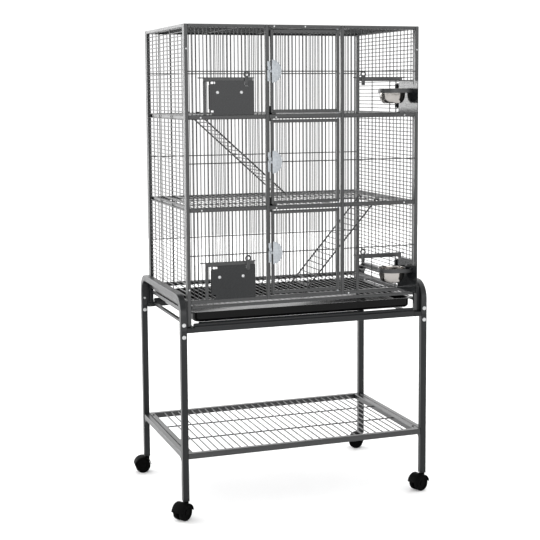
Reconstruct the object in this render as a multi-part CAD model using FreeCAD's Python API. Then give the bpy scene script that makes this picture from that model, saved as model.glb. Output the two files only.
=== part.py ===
import FreeCAD, Part
import math
import os

V = FreeCAD.Vector
X = V(1, 0, 0)
Y = V(0, 1, 0)
Z = V(0, 0, 1)

# Plan of the cage; the floor is z = 0 and the middle of the plan is the origin
width = 787.0
depth = 498.0

# Frames of the cage panels
post = 12.0
door_post = 11.0
side_stile = 10.0
rail = 12.0
top_rail = 10.0
rim = 8.0
top_sink = 1.0
weld = 0.5
layer_gap = 0.1

# Wires: bars are the close ones, stays cross them
bar = 2.4
stay = 3.2
bar_pitch = 12.7
floor_pitch = 20.0
bar_inset = 5.8
side_bar_inset = 4.8

# Heights: the posts stand on the stand, and the three tiers start at the floor rail
post_foot = 607.0
post_below = 71.0
tier_clear = 274.0
top_clear = 267.0
floor_rail = post_foot + post_below
tier = tier_clear + rail
rail_z = [floor_rail + tier * i for i in range(3)]
top_z = rail_z[2] + rail + top_clear
height = top_z + top_rail
ceilings = rail_z[1:] + [top_z]
middles = [(z + rail + ceiling) / 2 for z, ceiling in zip(rail_z, ceilings)]

# Doors
doorway = 121.5
door_gap = 4.5
door_side_gap = 5.5
door_frame = 10.0
door_bar_inset = 3.8
door_pin_r = 2.5
pin_play = 0.5
pin_reach = 5.0
door_half = doorway - door_side_gap
door_pin_x = door_half - door_frame / 2
door_pin_y = door_frame / 2

# Door latches
keeper_on_post = 6.0
keeper_past_post = 4.0
keeper_tall = 62.0
keeper_sheet = 1.6
lip_off = 5.2
lip_z = (4.5, 15.0)
lever_tall = 72.0
lever_wide = 32.0
lever_plate = 3.0
lever_off = 3.4
lever_pin_r = 2.2
lever_boss_r = 5.5
nose_reach = 10.5
nose_tall = 6.0
nose_sheet = 1.4
lever_x = door_frame / 2 - door_half

# Feeder hatches, measured from the door side; the left ones are mirrored for the right
hatch_hinge = 314.0
hatch_post_out = (325.0, 335.0)
hatch_post_in = (174.0, 183.0)
hatch_tall = 107.0
hatch_top = 8.0
hatch_plate = 1.5
hatch_lap = 1.0
hatch_edge = hatch_post_in[0] - hatch_lap
hatch_clear = (3.0, 2.5)
hatch_ear = 14.0
hatch_corner = 5.0
hatch_rod_r = 1.9
hatch_barrel_r = 3.6
hatch_axis_y = 3.0
hatch_open = 92.0
face_gap = 0.4
head_wire = (167.0, 350.0)
catch_aside = 13.0
catch_x = hatch_post_in[1] + catch_aside
catch_slot = 13.0
catch_half = 5.0
catch_plate = 1.5
catch_ring_r = 10.5
catch_hole_r = 6.0
catch_ring_rise = 13.0
catch_tongue = 22.0
catch_taper = 0.5
catch_tip = 3.0
catch_pin_r = 2.0
slot_past = 2.0

# Bowls and their rings
bowl_u = 64.0
bowl_v = 46.0
ring_rise = 64.0
ring_tall = 12.0
ring_in_r = 42.5
ring_sheet = 2.0
bowl_rim_r = 44.0
bowl_top_r = 41.3
bowl_mid_r = 38.5
bowl_base_r = 30.0
bowl_deep = 45.0
bowl_sheet = 1.2
seat_gap = 0.3
strap_screw = 38.4
strap_foot = 10.0

# Platforms and ramps
well_edge = 257.0
well_long = 150.0
well_back = -65.0
edge_rod = 5.0
rod_sink = 1.0
ramp_y = (-217.0, -72.0)
ramp_rail = 5.0
rung_pitch = 21.0
hook_play = 1.6
hook_long = 12.0
foot_gap = 0.6
lower_foot_x = -5.0
upper_foot_x = -52.0

# Grate, tray and their runners; side and back panels reach down to the grate's ledge
grate_side = 2.0
grate_ends = (2.0, 16.0)
grate_drop = 16.0
grate_tall = 10.0
tray_side = 9.5
tray_ends = (4.0, 18.0)
tray_drop = 58.7
tray_tall = 32.2
tray_sheet = 2.4
tray_flange = 8.0
tray_flange_ends = (2.0, 4.0)
tray_corner = 24.0
tray_bottom_r = 13.0
runner_web = (5.7, 7.5)
runner_ledge = 2.0
runner_drop = 38.0
runner_tall = 11.0
runner_short = 0.5
runner_side = 2.5

# Stand
leg = 20.0
leg_wall = 1.5
leg_gap = 7.5
leg_ahead = 7.0
leg_foot = 59.0
leg_below = 9.0
arch_rise = 90.0
arch_bend = 50.0
arch_facets = 8
spigot_long = 45.0
spigot_play = 0.3
beam = 25.0
beam_wall = 1.6
lug_tall = 16.0
beam_shy = 1.0
shoulder_gap = 3.5
side_beam_wide = 12.0
side_beam_tall = 8.0
side_beam_rise = 5.5
side_beam_in = 6.5
shelf_rail = 18.0
shelf_side = 17.5
side_tube = 17.0
side_set = 1.5
side_clear = 0.5
shelf_z = 191.0
shelf_pitch = 24.8
shelf_wires = 14
shelf_wire = 4.0
shelf_sink = 1.0
gusset = 28.0
gusset_wide = 16.0

# Casters: heading turns the trailing wheel about the stem
wheel_r = 26.0
wheel_sides = 16
wheel_wide = 16.0
wheel_off = 4.0
hood_r = 29.5
hood_wide = 44.0
hood_sheet = 2.0
hood_web = 3.2
hood_skirt = 3.0
hub_r = 8.0
caster_trail = 16.0
caster_top = 56.6
stem_r = 4.0
stem_long = 28.0
boss_r = 9.0
axle_r = 3.0
plug_flange = 2.0
plug_long = 25.0
casters = {"front_left": (-1, -1, 35.0), "back_left": (-1, 1, -7.0),
           "front_right": (1, -1, 20.0), "back_right": (1, 1, -30.0)}

half = width / 2
front = -depth / 2
inner = half - post
back_inner = depth / 2 - post
leg_x = half + leg_gap + leg / 2
leg_y = depth / 2 + leg_ahead
leg_top = post_foot - leg_below
leg_in_x = leg_x - leg / 2
leg_in_y = leg_y - leg / 2
grate_z = floor_rail - grate_drop
tray_z = floor_rail - tray_drop
wall_z = grate_z - face_gap


def block(x, y, z):
    return Part.makeBox(x[1] - x[0], y[1] - y[0], z[1] - z[0], V(x[0], y[0], z[0]))


def prism(points, along):
    return Part.Face(Part.makePolygon(points + points[:1])).extrude(along)


def ngon(centre, axis, radius, sides):
    up = axis.cross(X)
    turns = [2 * math.pi * (i + 0.5) / sides for i in range(sides)]
    return [centre + X * (radius * math.cos(t)) + up * (radius * math.sin(t)) for t in turns]


def drum(base, axis, radius, length, sides=20):
    return prism(ngon(base, axis, radius, sides), axis * length)


def stacked(sections):
    faces = [Part.Face(Part.makePolygon(s + s[:1])) for s in (sections[0], sections[-1])]
    for low, high in zip(sections, sections[1:]):
        for k in range(len(low)):
            loop = [low[k - 1], low[k], high[k], high[k - 1], low[k - 1]]
            faces.append(Part.Face(Part.makePolygon(loop)))
    solid = Part.Solid(Part.Shell(faces))
    if solid.Volume < 0:
        solid.reverse()
    return solid


def welded(pieces):
    return pieces[0].multiFuse(pieces[1:]).removeSplitter()


def spaced(low, high, pitch):
    gaps = round((high - low) / pitch)
    return [low + (high - low) * i / gaps for i in range(1, gaps)]


def span(middle, size):
    return (middle - size / 2, middle + size / 2)


def mirrored(shape):
    return shape.mirror(V(0, 0, 0), X)


def save(name, pieces):
    shape = pieces[0] if len(pieces) == 1 else Part.makeCompound(pieces)
    shape.exportStep(os.path.join("parts", name + ".step"))


# Side, back and top panels: a tube frame, close bars and a few stays behind them
def side_panel():
    out = back_inner
    z = (wall_z, height)
    run = (side_stile - out, out - side_stile)
    pieces = [block((-out, run[0]), (0, post), z), block((run[1], out), (0, post), z)]
    pieces.append(block(run, (0, post), (wall_z, wall_z + rail)))
    pieces.append(block(run, (0, post), (top_z, height)))
    y = (side_bar_inset, side_bar_inset + bar)
    pieces += [block(run, y, span(h, bar)) for h in spaced(wall_z + rail, top_z, bar_pitch)]
    behind = (y[1], y[1] + stay)
    up = (wall_z + rail, top_z)
    pieces += [block(span(u, stay), behind, up) for u in (-out / 3, out / 3)]
    for piece in pieces:
        piece.rotate(V(0, 0, 0), Z, -90)
        piece.translate(V(-half, 0, 0))
    return pieces


def back_panel():
    z = (post_foot, height)
    run = (-inner, inner)
    pieces = [block((-half, -inner), (0, post), z), block((inner, half), (0, post), z)]
    pieces.append(block(run, (0, post), (wall_z, wall_z + rail)))
    pieces.append(block(run, (0, post), (top_z, height)))
    up = (wall_z + rail, top_z)
    y = (bar_inset, bar_inset + bar)
    pieces += [block(span(x, bar), y, up) for x in spaced(-inner, inner, bar_pitch)]
    behind = (y[1], y[1] + stay)
    pieces += [block(run, behind, span(z, stay)) for z in middles]
    for piece in pieces:
        piece.rotate(V(0, 0, 0), Z, 180)
        piece.translate(V(0, -front, 0))
    return pieces


def top_panel():
    z = (top_z, height - top_sink)
    run = (rim - inner, inner - rim)
    across = (rim - back_inner, back_inner - rim)
    pieces = [block((-inner, inner), (-back_inner, across[0]), z)]
    pieces.append(block((-inner, inner), (across[1], back_inner), z))
    pieces.append(block((-inner, run[0]), across, z))
    pieces.append(block((run[1], inner), across, z))
    level = (z[1] - bar, z[1])
    under = (level[0] - stay, level[0])
    pieces += [block(run, span(y, bar), level) for y in spaced(across[0], across[1], bar_pitch)]
    pieces += [block(span(x, stay), across, under) for x in (-inner / 2, 0, inner / 2)]
    return pieces


# Front: each fixed side has a post, a door post, rails, bars, stays and two hatch frames
def front_side():
    x = (-inner, -doorway - door_post)
    deep = (front, front + post)
    shallow = (front, front + bar_inset)
    tubes = [block((-half, -inner), deep, (post_foot, height)),
             block((x[1], -doorway), deep, (floor_rail, height)),
             block(x, deep, (top_z, height))]
    rails = [block(x, deep if z == floor_rail else shallow, (z, z + rail)) for z in rail_z]
    frames = []
    heads = []
    for i in (0, 2):
        low = rail_z[i] + rail
        tall = (low, low + hatch_tall)
        heads.append(tall[1])
        frames += [block((-b, -a), shallow, tall) for a, b in (hatch_post_out, hatch_post_in)]
        head = block((-hatch_post_out[1], -hatch_post_in[0]), shallow, (tall[1], tall[1] + hatch_top))
        sunk = V(-hatch_hinge, front + hatch_axis_y, low - pin_reach - pin_play)
        rod = drum(sunk, Z, hatch_rod_r + pin_play, hatch_tall + 2 * rail, 8)
        pin = drum(V(-catch_x, front, tall[1] + hatch_top / 2), Y, catch_pin_r + pin_play, post, 8)
        frames.append(head.cut([rod, pin]))
        rails[i] = rails[i].cut([rod])
    y = (front + bar_inset, front + bar_inset + bar)
    bars = []
    for at in spaced(x[0], x[1], bar_pitch):
        runs = [(floor_rail + rail, top_z)]
        if -hatch_post_out[0] - bar < at < bar - hatch_post_in[1]:
            runs = [(heads[0], rail_z[2] + rail), (heads[1], top_z)]
        bars += [block(span(at, bar), y, run) for run in runs]
    behind = (y[1], y[1] + stay)
    stays = [block(x, behind, span(z, stay)) for z in middles]
    stays += [block((-head_wire[1], -head_wire[0]), behind, (z + hatch_top - stay, z + hatch_top)) for z in heads]
    return tubes + rails + frames + bars + stays


def cross_rails():
    x = (-doorway, doorway)
    deep = (front, front + post)
    rows = [(z, z + rail) for z in rail_z] + [(top_z, height)]
    hole = drum(V(door_pin_x, front + door_pin_y, 0), Z, door_pin_r + pin_play, height, 12)
    return [block(x, deep, z).cut([hole]) for z in rows]


# Doors: a tube frame with bars and one stay, a hole for the latch pin, and a pivot pin at each end
def door(i):
    bottom = rail_z[i] + rail + door_gap
    top = ceilings[i] - door_gap
    middle = middles[i]
    y = (front, front + door_frame)
    inside = door_half - door_frame
    run = (-inside - weld, inside + weld)
    frame = [block((-door_half, -inside), y, (bottom, top)), block((inside, door_half), y, (bottom, top))]
    frame.append(block(run, y, (bottom, bottom + door_frame)))
    frame.append(block(run, y, (top - door_frame, top)))
    up = (bottom + door_frame - weld, top - door_frame + weld)
    layer = (front + door_bar_inset, front + door_bar_inset + bar)
    bars = [block(span(x, bar), layer, up) for x in spaced(-inside, inside, bar_pitch)]
    behind = layer[1] + layer_gap
    stays = [block(run, (behind, behind + stay), span(middle, stay))]
    hole = drum(V(lever_x, front, middle), Y, lever_pin_r + pin_play, door_frame, 8)
    leaf = welded(frame + bars + stays).cut([hole])
    at = V(door_pin_x, front + door_pin_y, 0)
    long = door_gap + pin_reach
    pins = [drum(at + Z * z, Z, door_pin_r, long, 12) for z in (bottom - long, top)]
    return leaf, pins, middle


# Keeper: a strip on the door post with a lip above the middle that the turned nose goes behind
def keeper(middle):
    x = (-doorway - keeper_on_post, keeper_past_post - doorway)
    out = front - lip_off - keeper_sheet
    lip = (middle + lip_z[0], middle + lip_z[1])
    strip = block(x, (front - keeper_sheet, front), span(middle, keeper_tall))
    web = block((x[0], x[0] + keeper_sheet), (out, front), lip)
    return welded([strip, web, block(x, (out, out + keeper_sheet), lip)])


# Lever: a half-round thumb plate on a boss, with a nose towards the keeper and a pin through the door
def lever(middle):
    y = front - lever_off
    straight = lever_x - lever_boss_r / 2
    turns = [math.pi * k / 12 - math.pi / 2 for k in range(13)]
    curve = [V(straight + lever_wide * math.cos(t), y, middle + lever_tall / 2 * math.sin(t)) for t in turns]
    plate = prism(curve, Y * -lever_plate)
    boss = drum(V(lever_x, front - face_gap, middle), Y * -1, lever_boss_r, lever_off - face_gap + weld, 12)
    pin = drum(V(lever_x, front + door_frame, middle), Y * -1, lever_pin_r, door_frame + face_gap + weld, 8)
    nose = block((lever_x - nose_reach, lever_x), (y - nose_sheet, y), span(middle, nose_tall))
    return welded([plate, boss, pin, nose])


# Left hatch: sheet with notched hinge corners, barrel and rod, and a slot that lets it pass the hanging catch
def hatch(i):
    low = rail_z[i] + rail
    z = (low + hatch_clear[0], low + hatch_tall - hatch_clear[1])
    skin = (front - face_gap - hatch_plate, front - face_gap)
    edge = -hatch_hinge - hatch_rod_r
    inside = hatch_corner - hatch_hinge
    points = [(-hatch_edge, z[0]), (-hatch_edge, z[1]), (inside + hatch_ear, z[1]), (inside, z[1] - hatch_ear),
              (edge, z[1] - hatch_ear), (edge, z[0] + hatch_ear), (inside, z[0] + hatch_ear),
              (inside + hatch_ear, z[0])]
    sheet = prism([V(a, skin[0], b) for a, b in points], Y * hatch_plate)
    tip = low + hatch_tall + hatch_top / 2 - catch_tongue - slot_past
    slot = block(span(-catch_x, catch_slot), skin, (tip, z[1]))
    axis = V(-hatch_hinge, front + hatch_axis_y, 0)
    bare = hatch_ear + pin_play
    barrel = drum(axis + Z * (z[0] + bare), Z, hatch_barrel_r, z[1] - z[0] - 2 * bare, 12)
    rod = drum(axis + Z * (low - pin_reach), Z, hatch_rod_r, hatch_tall + 2 * pin_reach, 8)
    return welded([sheet.cut([slot]), barrel, rod])


# Ring that carries the bowl: a band with two straps back to the hatch and turned feet for the screws
def ring(i):
    low = rail_z[i] + rail + ring_rise
    centre = V(bowl_u - hatch_hinge, front + hatch_axis_y + bowl_v, low)
    out = ring_in_r + ring_sheet
    start = front - face_gap
    tall = (low, low + ring_tall)
    pieces = [drum(centre, Z, out, ring_tall)]
    for way in (-1, 1):
        edge = sorted((centre.x + way * ring_in_r, centre.x + way * out))
        pieces.append(block(edge, (start, centre.y), tall))
        foot = sorted((centre.x + way * (strap_screw - strap_foot / 2), centre.x + way * out))
        pieces.append(block(foot, (start, start + ring_sheet), tall))
    return welded(pieces).cut([drum(centre, Z, ring_in_r, ring_tall)])


# Bowl: spun shell with a flat rim that rests on the ring
def bowl(i):
    top = rail_z[i] + rail + ring_rise + ring_tall + seat_gap
    centre = V(bowl_u - hatch_hinge, front + hatch_axis_y + bowl_v, 0)

    def spun(profile):
        return stacked([ngon(centre + Z * z, Z, r, 20) for r, z in profile])

    base = top - bowl_deep
    lip = top + bowl_sheet
    bulge = base + bowl_deep / 4
    outer = spun([(bowl_base_r, base), (bowl_mid_r, bulge), (bowl_top_r, top), (bowl_rim_r, top), (bowl_rim_r, lip)])
    hollow = spun([(bowl_base_r - bowl_sheet, base + bowl_sheet), (bowl_mid_r - bowl_sheet, bulge),
                   (bowl_top_r - bowl_sheet, lip)])
    return outer.cut([hollow])


# Catch: a flat eye above the hatch frame and a tongue that hangs over the hatch, on a pin through the frame
def catch(i):
    z = rail_z[i] + rail + hatch_tall + hatch_top / 2
    y = front - face_gap - hatch_plate - seat_gap
    eye = V(-catch_x, y, z + catch_ring_rise)
    tip = z - catch_tongue
    right = [(catch_half, z + catch_hole_r), (catch_half - catch_taper, tip + catch_tip),
             (catch_half - catch_tip, tip)]
    points = right + [(-a, b) for a, b in reversed(right)]
    tongue = prism([V(a - catch_x, y, b) for a, b in points], Y * -catch_plate)
    pin = drum(V(-catch_x, front + bar_inset, z), Y * -1, catch_pin_r, front + bar_inset - y + weld, 8)
    disc = drum(eye, Y * -1, catch_ring_r, catch_plate, 16)
    return welded([disc, tongue, pin]).cut([drum(eye, Y * -1, catch_hole_r, catch_plate, 16)])


# Platform with a stair well at the front right; the upper one is the same part turned half round
def platform():
    z = (rail_z[1] + rail - rim, rail_z[1] + rail)
    out = back_inner
    run = (rim - inner, inner - rim)
    across = (rim - out, out - rim)
    rims = [block((-inner, inner), (-out, across[0]), z), block((-inner, inner), (across[1], out), z)]
    rims += [block((-inner, run[0]), across, z), block((run[1], inner), across, z)]
    rod_z = (z[0] + rod_sink, z[1] - rod_sink)
    well = (well_edge - well_long, well_edge)
    lip = (well[0] - edge_rod, well[1] + edge_rod)
    rods = [block((lip[0], well[0]), (across[0], well_back), rod_z),
            block((well[1], lip[1]), (across[0], well_back), rod_z),
            block(lip, (well_back, well_back + edge_rod), rod_z)]
    layer = (rod_z[1] - bar, rod_z[1])
    bars = []
    for x in spaced(-inner, inner, floor_pitch):
        start = well_back + edge_rod if lip[0] < x < lip[1] else across[0]
        bars.append(block(span(x, bar), (start, across[1]), layer))
    under = (layer[0] - stay, layer[0])
    rows = [(run, out / 3), ((run[0], lip[0]), -out / 3), ((lip[1], run[1]), -out / 3)]
    return rims + rods + bars + [block(x, span(y, stay), under) for x, y in rows]


# Ramp: two rails hooked over the edge of the stair well, with rungs between them
def ramp(foot_x, foot_z, floor_z):
    near = well_edge - hook_play
    far = well_edge + edge_rod + hook_play
    top = floor_z - rod_sink + hook_play
    head = V(near - ramp_rail / 2, 0, top - ramp_rail)
    start = V(foot_x, 0, foot_z + ramp_rail)
    slope = (head - start).normalize()
    side = V(-slope.z, 0, slope.x) * (ramp_rail / 2)
    pieces = []
    for y in (ramp_y[0], ramp_y[1] - ramp_rail):
        corners = [start + side, start - side, head - side, head + side]
        pieces.append(prism([c + Y * y for c in corners], Y * ramp_rail))
        wide = (y, y + ramp_rail)
        pieces.append(block((near - ramp_rail, near), wide, (head.z - weld, top + ramp_rail)))
        pieces.append(block((near - weld, far + ramp_rail), wide, (top, top + ramp_rail)))
        pieces.append(block((far, far + ramp_rail), wide, (top - hook_long, top + weld)))
    between = (ramp_y[0] + ramp_rail - weld, ramp_y[1] - ramp_rail + weld)
    for at in spaced(0, (head - start).Length, rung_pitch):
        middle = start + slope * at
        pieces.append(block(span(middle.x, stay), between, span(middle.z, stay)))
    return welded(pieces)


# Grate: a flat wire floor that draws out over the tray
def grate():
    z = (grate_z, grate_z + grate_tall)
    x = (grate_side - inner, inner - grate_side)
    y = (front + grate_ends[0], -front - grate_ends[1])
    run = (x[0] + rim, x[1] - rim)
    across = (y[0] + rim, y[1] - rim)
    rims = [block(x, (y[0], across[0]), z), block(x, (across[1], y[1]), z)]
    rims += [block((x[0], run[0]), across, z), block((run[1], x[1]), across, z)]
    layer = (z[1] - rod_sink - bar, z[1] - rod_sink)
    bars = [block(span(a, bar), across, layer) for a in spaced(x[0], x[1], floor_pitch)]
    under = (layer[0] - stay, layer[0])
    rows = [y[0] + (y[1] - y[0]) * k / 3 for k in (1, 2)]
    return rims + bars + [block(run, span(row, stay), under) for row in rows]


# Tray: moulded basin with rounded corners and bottom edges, and a flange that runs on the ledges
def tray():
    def outline(reach, y0, y1, r, z):
        points = []
        for k, (sx, sy) in enumerate(((1, 1), (-1, 1), (-1, -1), (1, -1))):
            cx = sx * (reach - r)
            cy = y1 - r if sy > 0 else y0 + r
            for step in range(5):
                t = math.pi / 2 * (k + step / 4)
                points.append(V(cx + r * math.cos(t), cy + r * math.sin(t), z))
        return points

    def basin(inset, low, high):
        sections = []
        round_r = tray_bottom_r - inset
        for step in range(4):
            t = math.pi / 2 * step / 3
            tuck = inset + round_r * (1 - math.sin(t))
            sections.append((tuck, low + round_r * (1 - math.cos(t))))
        sections.append((inset, high))
        return stacked([outline(wide - a, y[0] + a, y[1] - a, tray_corner - a, z) for a, z in sections])

    wide = inner - tray_side
    y = (front + tray_ends[0], -front - tray_ends[1])
    top = tray_z + tray_tall
    outer = basin(0, tray_z, top)
    hollow = basin(tray_sheet, tray_z + tray_sheet, top)
    edge = outline(wide + tray_flange, y[0] - tray_flange_ends[0], y[1] + tray_flange_ends[1], tray_corner,
                   top - tray_sheet)
    return welded([outer, prism(edge, Z * tray_sheet)]).cut([hollow])


# Runner: the grate's ledge under the side panel, and an angle between the posts that carries the tray
def runner():
    y = (runner_short - back_inner, back_inner - runner_short)
    web = (inner + runner_web[0], inner + runner_web[1])
    low = floor_rail - runner_drop
    tray_half = inner - tray_side
    level = tray_z + tray_tall - tray_sheet - face_gap
    ledge = (wall_z - runner_ledge, wall_z)
    pieces = [block((tray_half, half), y, ledge)]
    pieces.append(block(web, (-back_inner, back_inner), (low, low + runner_tall)))
    pieces.append(block((tray_half + runner_side, web[0]), y, (level - runner_ledge, level)))
    hung = (low + runner_tall, ledge[0])
    pieces += [block(web, span(row, stay), hung) for row in (-back_inner / 3, back_inner / 3)]
    return pieces


# Stand: bent side arches plugged into square legs, hollow beams, side beams and a wire shelf
def arch(way):
    x = way * leg_x - leg / 2
    bend_y = leg_y - arch_bend
    bend_z = leg_top + arch_rise - arch_bend + leg / 2

    def run(r):
        turns = [math.pi / 2 * k / arch_facets for k in range(arch_facets + 1)]
        side = [V(x, bend_y + r * math.cos(t), bend_z + r * math.sin(t)) for t in turns]
        path = [V(x, bend_y + r, leg_top)] + side
        return path + [V(x, -p.y, p.z) for p in reversed(path)]

    outside = run(arch_bend + leg / 2)
    band = prism(outside + run(arch_bend - leg / 2)[::-1], X * leg)
    bore = leg - 2 * leg_wall - 2 * spigot_play
    z = (leg_top - spigot_long, leg_top + weld)
    return welded([band] + [block(span(way * leg_x, bore), span(s * leg_y, bore), z) for s in (-1, 1)])


def stand_leg(sx, sy):
    z = (leg_foot, leg_top)
    bore = leg - 2 * leg_wall
    skin = block(span(sx * leg_x, leg), span(sy * leg_y, leg), z)
    return skin.cut([block(span(sx * leg_x, bore), span(sy * leg_y, bore), z)])


def stand_beam(way):
    outer = leg_y + leg / 2 - beam_shy
    y = sorted((way * outer, way * (outer - beam)))
    z = (post_foot - lug_tall, post_foot - lug_tall + beam)
    shoulder = inner - shoulder_gap
    skin = block((-shoulder, shoulder), y, z)
    hollow = block((-shoulder, shoulder), (y[0] + beam_wall, y[1] - beam_wall), (z[0] + beam_wall, z[1] - beam_wall))
    lugs = [block(x, y, (z[0], post_foot)) for x in ((-leg_in_x, -shoulder), (shoulder, leg_in_x))]
    return welded([skin.cut([hollow])] + lugs)


def side_beam_run(way):
    low = post_foot - lug_tall + side_beam_rise
    reach = leg_y + leg / 2 - beam_shy - beam
    middle = way * (inner - side_beam_in)
    return block(span(middle, side_beam_wide), (-reach, reach), (low, low + side_beam_tall))


def shelf():
    z = (shelf_z, shelf_z + shelf_rail)
    deep = leg_y - shelf_rail / 2
    edge = leg_in_x - side_clear
    side = edge - shelf_side
    tube = leg_in_x + side_set
    rails = [block((-leg_in_x, leg_in_x), span(s * leg_y, shelf_rail), z) for s in (-1, 1)]
    rails += [block(sorted((s * side, s * edge)), (-deep, deep), z) for s in (-1, 1)]
    rails += [block(sorted((s * tube, s * (tube + side_tube))), (-leg_in_y, leg_in_y), z) for s in (-1, 1)]
    level = (z[1] - shelf_sink - shelf_wire, z[1] - shelf_sink)
    at = [shelf_pitch * k for k in range(-shelf_wires, shelf_wires + 1)]
    wires = [block(span(x, shelf_wire), (-deep, deep), level) for x in at]
    under = (level[0] - shelf_wire, level[0])
    rows = (-deep / 3, deep / 3)
    return rails + wires + [block((-side, side), span(y, shelf_wire), under) for y in rows]


def gusset_plate(sx, sy):
    x = sx * leg_x - gusset_wide / 2
    turns = [math.pi / 2 * k / 4 for k in range(5)]
    points = [V(x, sy * leg_in_y, shelf_z)]
    for t in turns:
        reach = gusset * (1 - math.sin(t))
        points.append(V(x, sy * (leg_in_y - reach), shelf_z - gusset * (1 - math.cos(t))))
    return prism(points, X * gusset_wide)


# Casters: hooded twin wheels that trail behind the stem
def placed(shape, sx, sy, heading):
    shape.rotate(V(0, 0, 0), Z, heading)
    shape.translate(V(sx * leg_x, sy * leg_y, 0))
    return shape


def caster_hood(sx, sy, heading):
    axle = V(-caster_trail, 0, wheel_r)
    side = hood_wide / 2
    skirt = wheel_r + hood_skirt
    cap = drum(axle - Y * side, Y, hood_r, hood_wide, wheel_sides)
    cap = cap.cut([block((axle.x - hood_r, axle.x + hood_r), (-side, side), (wheel_r - hood_r, skirt))])
    web = block(span(axle.x, 2 * hub_r), (-hood_web, hood_web), (wheel_r - hub_r, wheel_r + hood_r / 2))
    boss_z = wheel_r + hood_r / 2
    boss = drum(V(0, 0, boss_z), Z, boss_r, caster_top - boss_z, 12)
    wells = [drum(axle + Y * (way * hood_web), Y * way, hood_r - hood_sheet, side, wheel_sides) for way in (-1, 1)]
    hole = drum(axle - Y * side, Y, axle_r + pin_play, hood_wide, 8)
    stem = drum(V(0, 0, caster_top - weld), Z, stem_r, stem_long, 8)
    return placed(welded([welded([cap, web, boss]).cut(wells + [hole]), stem]), sx, sy, heading)


def caster_wheels(sx, sy, heading):
    axle = V(-caster_trail, 0, wheel_r)
    corner_r = wheel_r / math.cos(math.pi / wheel_sides)
    discs = [drum(axle + Y * (way * wheel_off), Y * way, corner_r, wheel_wide, wheel_sides) for way in (-1, 1)]
    pin = drum(axle - Y * (wheel_off + weld), Y, axle_r, 2 * (wheel_off + weld), 8)
    return placed(welded(discs + [pin]), sx, sy, heading)


def leg_plug(sx, sy):
    bore = leg - 2 * leg_wall
    z = (leg_foot - plug_flange, leg_foot + plug_long)
    body = welded([block(span(sx * leg_x, bore), span(sy * leg_y, bore), z),
                   block(span(sx * leg_x, leg), span(sy * leg_y, leg), (z[0], leg_foot))])
    return body.cut([drum(V(sx * leg_x, sy * leg_y, 0), Z, stem_r + pin_play, height, 8)])


def swung_open(shape):
    shape = mirrored(shape)
    shape.rotate(V(hatch_hinge, front + hatch_axis_y, 0), Z, hatch_open)
    return shape


os.makedirs("parts", exist_ok=True)
panels = {"side": side_panel(), "front": front_side()}
save("left_panel", panels["side"])
save("right_panel", [mirrored(s) for s in panels["side"]])
save("front_left_panel", panels["front"])
save("front_right_panel", [mirrored(s) for s in panels["front"]])
save("back_panel", back_panel())
save("top_panel", top_panel())
save("front_cross_rails", cross_rails())
keepers = []
for i, name in enumerate(("lower", "middle", "upper")):
    leaf, pins, middle = door(i)
    save(name + "_door", [leaf])
    save(name + "_door_pins", pins)
    save(name + "_latch_lever", [lever(middle)])
    keepers.append(keeper(middle))
save("latch_keepers", keepers)
for i, name in ((0, "lower"), (2, "upper")):
    for kind, make in (("hatch", hatch), ("ring", ring), ("bowl", bowl)):
        shape = make(i)
        save("left_" + name + "_" + kind, [shape])
        save("right_" + name + "_" + kind, [swung_open(shape)])
    save("left_" + name + "_catch", [catch(i)])
    save("right_" + name + "_catch", [mirrored(catch(i))])
floor = platform()
save("middle_platform", floor)
for piece in floor:
    piece.rotate(V(0, 0, 0), Z, 180)
    piece.translate(Z * tier)
save("upper_platform", floor)
save("lower_ramp", [ramp(lower_foot_x, grate_z + grate_tall + foot_gap, rail_z[1] + rail)])
steps = ramp(upper_foot_x, rail_z[1] + rail + foot_gap, rail_z[2] + rail)
steps.rotate(V(0, 0, 0), Z, 180)
save("upper_ramp", [steps])
save("grate", grate())
save("tray", [tray()])
ledges = runner()
save("runners", ledges + [mirrored(s) for s in ledges])
save("left_arch", [arch(-1)])
save("right_arch", [arch(1)])
save("beams", [stand_beam(-1), stand_beam(1)])
save("side_beams", [side_beam_run(-1), side_beam_run(1)])
save("shelf", shelf())
save("gussets", [gusset_plate(*c[:2]) for c in casters.values()])
save("leg_plugs", [leg_plug(*c[:2]) for c in casters.values()])
for name, place in casters.items():
    save(name + "_leg", [stand_leg(*place[:2])])
    save(name + "_caster_hood", [caster_hood(*place)])
    save(name + "_caster_wheels", [caster_wheels(*place)])
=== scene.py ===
import math
import bpy
from mathutils import Matrix, Vector


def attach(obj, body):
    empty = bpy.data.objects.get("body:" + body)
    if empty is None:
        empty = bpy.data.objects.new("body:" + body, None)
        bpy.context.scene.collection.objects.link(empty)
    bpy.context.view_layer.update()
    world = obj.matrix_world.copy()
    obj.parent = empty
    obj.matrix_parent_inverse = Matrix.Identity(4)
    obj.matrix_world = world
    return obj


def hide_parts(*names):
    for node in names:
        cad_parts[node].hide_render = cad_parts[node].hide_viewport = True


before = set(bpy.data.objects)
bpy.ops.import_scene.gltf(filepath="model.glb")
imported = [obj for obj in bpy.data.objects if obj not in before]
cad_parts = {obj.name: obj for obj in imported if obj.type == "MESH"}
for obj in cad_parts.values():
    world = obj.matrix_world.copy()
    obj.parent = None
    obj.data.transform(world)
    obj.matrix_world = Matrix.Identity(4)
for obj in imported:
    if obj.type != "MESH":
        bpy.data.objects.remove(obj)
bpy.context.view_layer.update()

mm = 0.001

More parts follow.
